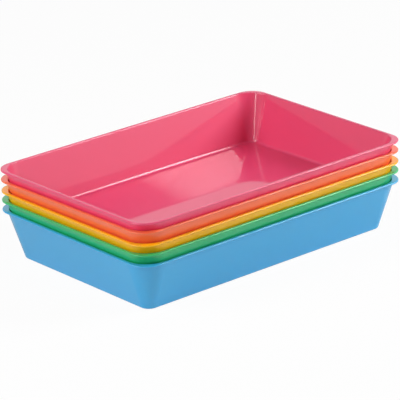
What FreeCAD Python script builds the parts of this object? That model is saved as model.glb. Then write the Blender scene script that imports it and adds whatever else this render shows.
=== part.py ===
# Five plastic utility trays, nested in a stack. Each tray is one moulding: a flat floor, four walls
# that lean outwards, and a thin rim that runs round the top and stands out furthest at the corners.
# The origin lies at the middle of the lowest tray's underside. X runs along the long side, Y along
# the short side, and +Z points up out of the trays. All sizes are in millimetres.

import FreeCAD, Part
import math
import os
from typing import NamedTuple

# One tray, measured outside
rim_length = 330.0
rim_width = 220.0
tray_height = 50.0

# Walls and floor
wall_thickness = 2.2
floor_thickness = 2.4
wall_draft_deg = 17.5
base_corner_radius = 9.5
base_edge_radius = 2.0
floor_fillet_radius = 3.5

# Rim
rim_thickness = 1.8
rim_edge_radius = 0.8
rim_overhang = 1.0
rim_corner_radius = 18.5
rim_mouth_radius = 0.9

# Smallest gap between the walls of two nested trays, measured square to the wall
nest_clearance = 0.3

# How far a cutting shape reaches past the face that it opens
cut_overshoot = 6.0


class Seat(NamedTuple):
    """How a tray sits on the tray below: its lean against that tray, and any lift over a close nest."""

    name: str
    lean_about_x_deg: float
    lean_about_y_deg: float
    extra_lift: float


# From the table upwards. A negative lean about X lifts the front, and a positive one about Y lifts
# the end at negative X.
seats = (
    Seat("blue_tray", 0.0, 0.0, 0.0),
    Seat("green_tray", -0.30, 0.10, 0.0),
    Seat("yellow_tray", -0.05, 0.05, 0.5),
    Seat("orange_tray", -0.30, 0.20, 1.0),
    Seat("pink_tray", 0.30, -0.20, 0.0),
)

draft = math.radians(wall_draft_deg)
draft_slope = math.tan(draft)
level_wall_thickness = wall_thickness / math.cos(draft)
base_half_length = rim_length / 2 - rim_overhang - tray_height * draft_slope
base_half_width = rim_width / 2 - rim_overhang - tray_height * draft_slope
close_nest_lift = (wall_thickness + nest_clearance) / math.sin(draft)


def rounded_rectangle(half_length, half_width, corner_radius, height):
    """A closed level outline with round corners, centred on the Z axis."""
    corners = ((1, -1, -90), (1, 1, 0), (-1, 1, 90), (-1, -1, 180))
    arcs = []
    for sign_x, sign_y, start_deg in corners:
        centre_x = sign_x * (half_length - corner_radius)
        centre_y = sign_y * (half_width - corner_radius)
        on_arc = []
        for turn_deg in (0, 45, 90):
            angle = math.radians(start_deg + turn_deg)
            x = centre_x + corner_radius * math.cos(angle)
            y = centre_y + corner_radius * math.sin(angle)
            on_arc.append(FreeCAD.Vector(x, y, height))
        arcs.append(on_arc)
    edges = []
    for index, on_arc in enumerate(arcs):
        next_start = arcs[(index + 1) % len(arcs)][0]
        edges.append(Part.Arc(*on_arc).toShape())
        edges.append(Part.LineSegment(on_arc[2], next_start).toShape())
    return Part.Wire(edges)


def wall_outline(height, level_inset):
    """The tray's outer outline at a height, drawn in by a level distance. Its corners are cones."""
    offset = height * draft_slope - level_inset
    return rounded_rectangle(
        base_half_length + offset,
        base_half_width + offset,
        base_corner_radius + offset,
        height,
    )


def drafted_block(bottom, top, level_inset):
    """A solid block with the tray's leaning sides between two heights."""
    outlines = [wall_outline(bottom, level_inset), wall_outline(top, level_inset)]
    return Part.makeLoft(outlines, True, True)


def edges_at_height(shape, height):
    """The edges of a shape that lie level at a height."""
    tolerance = 1e-4
    return [
        edge
        for edge in shape.Edges
        if all(abs(vertex.Z - height) < tolerance for vertex in edge.Vertexes)
    ]


def make_outer_block():
    """The tray's outside as a full block up into the rim, with its bottom edge rounded."""
    block = drafted_block(0.0, tray_height - rim_thickness / 2, 0.0)
    return block.makeFillet(base_edge_radius, edges_at_height(block, 0.0))


def make_hollow():
    """The space inside the walls, above the floor, with the floor's fillet on it."""
    block = drafted_block(floor_thickness, tray_height + cut_overshoot, level_wall_thickness)
    return block.makeFillet(floor_fillet_radius, edges_at_height(block, floor_thickness))


def make_rim_plate():
    """The rim as a full plate with a rounded edge, before the hollow is cut through it."""
    underside = tray_height - rim_thickness
    outline = rounded_rectangle(rim_length / 2, rim_width / 2, rim_corner_radius, underside)
    plate = Part.Face(outline).extrude(FreeCAD.Vector(0, 0, rim_thickness))
    long_way_round = edges_at_height(plate, underside) + edges_at_height(plate, tray_height)
    return plate.makeFillet(rim_edge_radius, long_way_round)


def round_mouth(tray):
    """Rounds the inner edge of the rim, where the mouth of the tray begins."""
    rim_top = max(
        (face for face in tray.Faces if isinstance(face.Surface, Part.Plane)),
        key=lambda face: face.CenterOfMass.z,
    )
    mouth = [wire for wire in rim_top.Wires if not wire.isSame(rim_top.OuterWire)]
    return tray.makeFillet(rim_mouth_radius, mouth[0].Edges)


def make_tray():
    """One whole tray, standing on the XY plane."""
    outside = make_outer_block().fuse(make_rim_plate())
    return round_mouth(outside.cut(make_hollow())).Solids[0]


def lean_allowance(lean_deg, half_span):
    """The lift that keeps the nest's clearance when a tray leans by an angle across a half span."""
    sideways_reach = tray_height / 2 / draft_slope
    return math.tan(math.radians(abs(lean_deg))) * (half_span + sideways_reach)


def seat_lift(seat):
    """How far a tray stands above the one below."""
    return (
        close_nest_lift
        + lean_allowance(seat.lean_about_x_deg, rim_width / 2)
        + lean_allowance(seat.lean_about_y_deg, rim_length / 2)
        + seat.extra_lift
    )


def stack_trays():
    """Each tray's name and its shape in place, from the table upwards."""
    tray = make_tray()
    lean_centre = FreeCAD.Vector(0, 0, tray_height / 2)
    lift = 0.0
    lean_about_x = 0.0
    lean_about_y = 0.0
    placed = {}
    for index, seat in enumerate(seats):
        if index > 0:
            lift += seat_lift(seat)
            lean_about_x += seat.lean_about_x_deg
            lean_about_y += seat.lean_about_y_deg
        copy = tray.copy()
        copy.rotate(lean_centre, FreeCAD.Vector(1, 0, 0), lean_about_x)
        copy.rotate(lean_centre, FreeCAD.Vector(0, 1, 0), lean_about_y)
        copy.translate(FreeCAD.Vector(0, 0, lift))
        placed[seat.name] = copy
    return placed


os.makedirs("parts", exist_ok=True)
for name, shape in stack_trays().items():
    shape.exportStep(os.path.join("parts", name + ".step"))
    print(name, "solids", len(shape.Solids), "valid", shape.isValid(), "volume", round(shape.Volume))
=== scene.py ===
"""Looks of five nested plastic trays, standing on a pale studio table.

Each tray is its CAD node, unmoved and unchanged, with a glossy moulded polypropylene on it. The
lamps are softboxes, which the gloss mirrors. Lengths are in metres unless a name ends in _mm.
"""

import logging
import math
from dataclasses import dataclass, field
from enum import Enum
from typing import Any

import bpy
from mathutils import Matrix, Vector

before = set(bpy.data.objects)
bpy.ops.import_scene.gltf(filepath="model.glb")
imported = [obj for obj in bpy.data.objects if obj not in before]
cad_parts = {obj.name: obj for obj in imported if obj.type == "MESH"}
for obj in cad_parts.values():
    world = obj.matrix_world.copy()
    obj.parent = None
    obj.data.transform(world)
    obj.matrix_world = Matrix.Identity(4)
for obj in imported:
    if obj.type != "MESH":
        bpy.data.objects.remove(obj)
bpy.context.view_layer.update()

log = logging.getLogger("tray_stack")

MM = 0.001
WHITE = (1.0, 1.0, 1.0, 1.0)

# A mix node has sockets of one name for numbers and for colours, so they are picked by place
MIX_FACTOR = 0
MIX_NUMBER_A, MIX_NUMBER_B, MIX_NUMBER_OUT = 2, 3, 0
MIX_COLOUR_A, MIX_COLOUR_B, MIX_COLOUR_OUT = 6, 7, 2

# The sRGB curve: a straight toe below its end, and a power above it
SRGB_TOE_END = 0.04045
SRGB_TOE_SLOPE = 12.92
SRGB_OFFSET = 0.055
SRGB_POWER = 2.4


def linear(hex_code: str) -> tuple[float, float, float, float]:
    """Turn an sRGB hex colour to linear RGBA.

    Args:
        hex_code: six hex digits, as in "E84A68".

    Returns:
        The linear red, green, blue and an alpha of one.
    """
    shares = [int(hex_code[start : start + 2], 16) / 255 for start in (0, 2, 4)]
    red, green, blue = (
        share / SRGB_TOE_SLOPE
        if share <= SRGB_TOE_END
        else ((share + SRGB_OFFSET) / (1 + SRGB_OFFSET)) ** SRGB_POWER
        for share in shares
    )
    return (red, green, blue, 1.0)


def add_node(
    tree: bpy.types.NodeTree,
    kind: str,
    settings: dict[str, Any] | None = None,
    inputs: dict[str | int, Any] | None = None,
) -> bpy.types.Node:
    """Add a node with its settings and links.

    Args:
        tree: the node tree that gets the node.
        kind: the node's type name.
        settings: attributes of the node, by name.
        inputs: socket values by name or number; a value that is a socket is linked.

    Returns:
        The new node.
    """
    node = tree.nodes.new(kind)
    for name, value in (settings or {}).items():
        setattr(node, name, value)
    for name, value in (inputs or {}).items():
        if isinstance(value, bpy.types.NodeSocket):
            tree.links.new(value, node.inputs[name])
        else:
            node.inputs[name].default_value = value
    return node


class Tone(Enum):
    """The pigment of a tray, from the table upwards, with its CAD node's first word."""

    BLUE = "blue"
    GREEN = "green"
    YELLOW = "yellow"
    ORANGE = "orange"
    PINK = "pink"


@dataclass(frozen=True)
class MouldedPolypropylene:
    """Glossy injection-moulded polypropylene with a little light passing into it.

    The polished mould gives sharp reflections, with a slow waviness from uneven shrinkage. Over
    them lies a soft haze, the bloom, which is the shader's coat. Pigment flow leaves faint tone
    changes a few centimetres wide, and light soaks a few millimetres into the wall. Edges are
    shaded a little rounder than the mesh is, so that the lips catch a line of light.
    """

    name: str
    body: str
    thick: str
    scatter_mm: tuple[float, float, float]
    subsurface: float = 0.1
    roughness: float = 0.05
    polish_spread: float = 0.2
    bloom: float = 0.9
    bloom_roughness: float = 0.55
    bloom_ior: float = 1.5
    ior: float = 1.49
    flow_mm: float = 70.0
    flow_detail: float = 2.0
    shrink_wave_mm: float = 45.0
    shrink_wave_detail: float = 1.0
    shrink_depth_mm: float = 0.006
    edge_mm: float = 1.6
    edge_samples: int = 6

    def build(self) -> bpy.types.Material:
        """Make the material.

        Returns:
            The node material.
        """
        material = bpy.data.materials.new(self.name)
        material.use_nodes = True
        tree = material.node_tree
        tree.nodes.clear()
        place = add_node(tree, "ShaderNodeTexCoord").outputs["Object"]
        flow = add_node(
            tree,
            "ShaderNodeTexNoise",
            inputs={
                "Vector": place,
                "Scale": 1 / (self.flow_mm * MM),
                "Detail": self.flow_detail,
            },
        )
        tone = add_node(
            tree,
            "ShaderNodeMix",
            {"data_type": "RGBA"},
            {
                MIX_FACTOR: flow.outputs["Fac"],
                MIX_COLOUR_A: linear(self.body),
                MIX_COLOUR_B: linear(self.thick),
            },
        )
        polish = add_node(
            tree,
            "ShaderNodeMapRange",
            inputs={
                "Value": flow.outputs["Fac"],
                "To Min": self.roughness * (1 - self.polish_spread),
                "To Max": self.roughness * (1 + self.polish_spread),
            },
        )
        wave = add_node(
            tree,
            "ShaderNodeTexNoise",
            inputs={
                "Vector": place,
                "Scale": 1 / (self.shrink_wave_mm * MM),
                "Detail": self.shrink_wave_detail,
            },
        )
        soft_edge = add_node(
            tree,
            "ShaderNodeBevel",
            {"samples": self.edge_samples},
            {"Radius": self.edge_mm * MM},
        )
        bump = add_node(
            tree,
            "ShaderNodeBump",
            inputs={
                "Normal": soft_edge.outputs["Normal"],
                "Height": wave.outputs["Fac"],
                "Strength": 1.0,
                "Distance": self.shrink_depth_mm * MM,
            },
        )
        plastic = add_node(
            tree,
            "ShaderNodeBsdfPrincipled",
            {"subsurface_method": "RANDOM_WALK"},
            {
                "Base Color": tone.outputs[MIX_COLOUR_OUT],
                "Roughness": polish.outputs["Result"],
                "IOR": self.ior,
                "Coat Weight": self.bloom,
                "Coat Roughness": self.bloom_roughness,
                "Coat IOR": self.bloom_ior,
                "Subsurface Weight": self.subsurface,
                "Subsurface Radius": [radius * MM for radius in self.scatter_mm],
                "Subsurface Scale": 1.0,
                "Normal": bump.outputs["Normal"],
            },
        )
        add_node(
            tree,
            "ShaderNodeOutputMaterial",
            inputs={"Surface": plastic.outputs["BSDF"]},
        )
        return material


# Every tray is the same plastic with another pigment. The body colour shows on most of the wall,
# and the thick one where the flow left more pigment.
FINISHES = {
    # A calm sky blue, a little hazy where the table mirrors in it
    Tone.BLUE: MouldedPolypropylene(
        "sky_blue_polypropylene", "33AEE6", "2DAAE2", (0.8, 2.0, 3.0)
    ),
    # A cool leaf green that goes deep under the rim above
    Tone.GREEN: MouldedPolypropylene(
        "leaf_green_polypropylene", "18BE6E", "12B868", (0.8, 3.0, 1.5)
    ),
    # A warm, full yellow that keeps its colour in shade, so it has the least bloom
    Tone.YELLOW: MouldedPolypropylene(
        "sun_yellow_polypropylene", "FFBA06", "FFB603", (5.0, 3.5, 0.8), bloom=0.12
    ),
    # A bright salmon orange
    Tone.ORANGE: MouldedPolypropylene(
        "orange_polypropylene", "FD703C", "FD6C38", (6.0, 1.5, 0.7)
    ),
    # A raspberry pink that is deep red in shade and milky in the light, so it has the most bloom
    Tone.PINK: MouldedPolypropylene(
        "raspberry_pink_polypropylene", "EE3F72", "EC3B6E", (6.0, 1.0, 1.4), bloom_ior=1.6
    ),
}


@dataclass
class TrayStack:
    """Five nested trays, each dressed in its own moulded plastic."""

    nodes: dict[str, bpy.types.Object]

    def dress(self) -> None:
        """Give each tray's node its plastic."""
        for tone, finish in FINISHES.items():
            tray = self.nodes[tone.value + "_tray"]
            tray.data.materials.clear()
            tray.data.materials.append(finish.build())
            log.info("piece %s dressed as %s", tray.name, finish.name)


@dataclass
class Softbox:
    """A rectangular studio lamp that points at the middle of the stack.

    Its azimuth runs from +X towards +Y. Its brightness is how many times as bright as white paper
    it looks.
    """

    name: str
    azimuth_deg: float
    elevation_deg: float
    width: float
    height: float
    brightness: float
    distance: float = 1.6
    target: tuple[float, float, float] = (0.0, 0.0, 0.05)

    def hang(self) -> None:
        """Add the lamp to the scene."""
        azimuth = math.radians(self.azimuth_deg)
        elevation = math.radians(self.elevation_deg)
        outwards = Vector(
            (
                math.cos(azimuth) * math.cos(elevation),
                math.sin(azimuth) * math.cos(elevation),
                math.sin(elevation),
            )
        )
        lamp = bpy.data.lights.new(self.name, "AREA")
        lamp.shape = "RECTANGLE"
        lamp.size = self.width
        lamp.size_y = self.height
        lamp.energy = self.brightness * math.pi * self.width * self.height
        holder = bpy.data.objects.new(self.name, lamp)
        holder.location = Vector(self.target) + outwards * self.distance
        holder.rotation_mode = "QUATERNION"
        holder.rotation_quaternion = (-outwards).to_track_quat("-Z", "Y")
        holder.visible_camera = False
        bpy.context.scene.collection.objects.link(holder)


@dataclass(frozen=True)
class WhiteLaminate:
    """Smooth white laminate of the studio table.

    It is nearly white where it is seen, with just enough paint left to show the stack's soft
    shadow. Gloss mirrors it darker, as an unlit table top. A glow is a share of white.
    """

    name: str = "white_laminate_table"
    tone: str = "EAEAEA"
    glow: float = 0.95
    mirrored_glow: float = 0.2

    def build(self) -> bpy.types.Material:
        """Make the material.

        Returns:
            The node material.
        """
        material = bpy.data.materials.new(self.name)
        material.use_nodes = True
        tree = material.node_tree
        tree.nodes.clear()
        path = add_node(tree, "ShaderNodeLightPath").outputs
        paint = add_node(tree, "ShaderNodeBsdfDiffuse", inputs={"Color": linear(self.tone)})
        white = add_node(tree, "ShaderNodeEmission", inputs={"Color": WHITE, "Strength": 1.0})
        mirrored = add_node(
            tree,
            "ShaderNodeMath",
            {"operation": "MAXIMUM"},
            {0: path["Is Glossy Ray"], 1: path["Is Transmission Ray"]},
        )
        mirrored_share = add_node(
            tree,
            "ShaderNodeMath",
            {"operation": "MULTIPLY"},
            {0: mirrored.outputs["Value"], 1: self.mirrored_glow},
        )
        share = add_node(
            tree,
            "ShaderNodeMix",
            {"data_type": "FLOAT"},
            {
                MIX_FACTOR: path["Is Camera Ray"],
                MIX_NUMBER_A: mirrored_share.outputs["Value"],
                MIX_NUMBER_B: self.glow,
            },
        )
        mixed = add_node(
            tree,
            "ShaderNodeMixShader",
            inputs={
                0: share.outputs[MIX_NUMBER_OUT],
                1: paint.outputs["BSDF"],
                2: white.outputs["Emission"],
            },
        )
        add_node(tree, "ShaderNodeOutputMaterial", inputs={"Surface": mixed.outputs["Shader"]})
        return material


@dataclass(frozen=True)
class WhiteSurround:
    """The surround, which is white where it is seen and dim as a light.

    Gloss mirrors a white sweep behind the stack and an unlit studio in front of it. The sweep
    starts at a right angle to its middle, and it is fully white where the cosine of the angle to
    that middle reaches sweep_fade. Its top fades out between two sines of the elevation.
    """

    name: str = "white_surround"
    ambient: float = 0.07
    unlit_side: float = 0.15
    sweep_azimuth_deg: float = 62.0
    sweep_fade: float = 0.5
    sweep_top_from: float = 0.4
    sweep_top_to: float = 0.6

    def sweep_direction(self) -> tuple[float, float, float]:
        """The level direction from the stack to the middle of the white sweep."""
        azimuth = math.radians(self.sweep_azimuth_deg)
        return (math.cos(azimuth), math.sin(azimuth), 0.0)

    def build(self) -> bpy.types.World:
        """Make the world.

        Returns:
            The node world.
        """
        world = bpy.data.worlds.new(self.name)
        world.use_nodes = True
        tree = world.node_tree
        tree.nodes.clear()
        path = add_node(tree, "ShaderNodeLightPath").outputs
        outwards = add_node(tree, "ShaderNodeTexCoord").outputs["Generated"]
        behind = add_node(
            tree,
            "ShaderNodeVectorMath",
            {"operation": "DOT_PRODUCT"},
            {0: outwards, 1: self.sweep_direction()},
        )
        towards_sweep = add_node(
            tree,
            "ShaderNodeMapRange",
            {"interpolation_type": "SMOOTHSTEP"},
            {"Value": behind.outputs["Value"], "From Min": 0.0, "From Max": self.sweep_fade},
        )
        rise = add_node(tree, "ShaderNodeSeparateXYZ", inputs={"Vector": outwards})
        below_top = add_node(
            tree,
            "ShaderNodeMapRange",
            {"interpolation_type": "SMOOTHSTEP"},
            {
                "Value": rise.outputs["Z"],
                "From Min": self.sweep_top_from,
                "From Max": self.sweep_top_to,
                "To Min": 1.0,
                "To Max": 0.0,
            },
        )
        sweep = add_node(
            tree,
            "ShaderNodeMath",
            {"operation": "MULTIPLY"},
            {0: towards_sweep.outputs["Result"], 1: below_top.outputs["Result"]},
        )
        seen_in_gloss = add_node(
            tree,
            "ShaderNodeMapRange",
            inputs={
                "Value": sweep.outputs["Value"],
                "To Min": self.unlit_side,
                "To Max": 1.0,
            },
        )
        mirrored = add_node(
            tree,
            "ShaderNodeMath",
            {"operation": "MAXIMUM"},
            {0: path["Is Glossy Ray"], 1: path["Is Transmission Ray"]},
        )
        by_gloss = add_node(
            tree,
            "ShaderNodeMix",
            {"data_type": "FLOAT"},
            {
                MIX_FACTOR: mirrored.outputs["Value"],
                MIX_NUMBER_A: self.ambient,
                MIX_NUMBER_B: seen_in_gloss.outputs["Result"],
            },
        )
        by_eye = add_node(
            tree,
            "ShaderNodeMix",
            {"data_type": "FLOAT"},
            {
                MIX_FACTOR: path["Is Camera Ray"],
                MIX_NUMBER_A: by_gloss.outputs[MIX_NUMBER_OUT],
                MIX_NUMBER_B: 1.0,
            },
        )
        surround = add_node(
            tree,
            "ShaderNodeBackground",
            inputs={"Color": WHITE, "Strength": by_eye.outputs[MIX_NUMBER_OUT]},
        )
        add_node(
            tree,
            "ShaderNodeOutputWorld",
            inputs={"Surface": surround.outputs["Background"]},
        )
        return world


@dataclass
class Studio:
    """The pale table, the white surround and the lamps."""

    table_half: float = 4.0
    table_drop: float = 0.0002
    laminate: WhiteLaminate = field(default_factory=WhiteLaminate)
    surround: WhiteSurround = field(default_factory=WhiteSurround)
    # Each lamp's azimuth and elevation, its width and height, and its brightness
    lamps: list[Softbox] = field(
        default_factory=lambda: [
            Softbox("key_softbox", 321.7, 31.3, 0.62, 0.81, 13.8),
            Softbox("left_softbox", 174.0, 28.0, 0.6, 0.5, 6.5),
            Softbox("left_strip", 200.0, 20.0, 0.10, 0.56, 11.0),
            Softbox("back_left_softbox", 158.0, 40.0, 0.9, 0.8, 3.9),
            Softbox("overhead_softbox", 100.0, 75.0, 1.2, 1.2, 0.45),
            Softbox("low_front_panel", 306.0, 7.0, 1.6, 0.34, 0.75),
            Softbox("low_camera_panel", 230.0, 7.0, 0.9, 0.34, 0.6),
        ]
    )

    def build(self) -> None:
        """Set up the table, the surround and the lamps."""
        self.lay_table()
        bpy.context.scene.world = self.surround.build()
        for lamp in self.lamps:
            lamp.hang()

    def lay_table(self) -> None:
        """Lay the table top a hair below the stack."""
        half = self.table_half
        mesh = bpy.data.meshes.new("studio_table")
        corners = [(-half, -half, 0), (half, -half, 0), (half, half, 0), (-half, half, 0)]
        mesh.from_pydata(corners, [], [(0, 1, 2, 3)])
        mesh.materials.append(self.laminate.build())
        table = bpy.data.objects.new("studio_table", mesh)
        bpy.context.scene.collection.objects.link(table)
        table.location.z = -self.table_drop


@dataclass
class PhotoCamera:
    """The camera at the photograph's viewing angle.

    Its aim is how far the middle of the picture lies across and above the stack's axis, and its
    height over the table.
    """

    azimuth_deg: float = -40.4977
    elevation_deg: float = 20.8692
    roll_deg: float = -1.5804
    distance: float = 2.871578
    lens_mm: float = 270.61
    sensor_mm: float = 36.0
    nearest: float = 0.05
    farthest: float = 50.0
    aim: tuple[float, float, float] = (-0.002211, -0.000165, 0.0429)

    def set_up(self) -> None:
        """Add the camera and make it the scene's own."""
        azimuth = math.radians(self.azimuth_deg)
        elevation = math.radians(self.elevation_deg)
        roll = math.radians(self.roll_deg)
        back = Vector(
            (
                math.sin(azimuth) * math.cos(elevation),
                -math.cos(azimuth) * math.cos(elevation),
                math.sin(elevation),
            )
        )
        level_right = Vector((math.cos(azimuth), math.sin(azimuth), 0.0))
        level_up = back.cross(level_right).normalized()
        right = math.cos(roll) * level_right + math.sin(roll) * level_up
        up = -math.sin(roll) * level_right + math.cos(roll) * level_up
        across, above, height = self.aim
        target = right * across + up * above + Vector((0.0, 0.0, height))
        data = bpy.data.cameras.new("photo_camera")
        data.lens = self.lens_mm
        data.sensor_width = self.sensor_mm
        data.clip_start = self.nearest
        data.clip_end = self.farthest
        camera = bpy.data.objects.new("photo_camera", data)
        turn = Matrix((right, up, back)).transposed().to_4x4()
        camera.matrix_world = Matrix.Translation(target + back * self.distance) @ turn
        bpy.context.scene.collection.objects.link(camera)
        bpy.context.scene.camera = camera


def main() -> None:
    """Set up the camera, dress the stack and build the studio."""
    logging.basicConfig(level=logging.INFO, format="%(message)s")
    bpy.context.scene.view_settings.view_transform = "Standard"
    PhotoCamera().set_up()
    TrayStack(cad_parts).dress()
    Studio().build()
    bpy.context.view_layer.update()


if __name__ == "__main__":
    main()
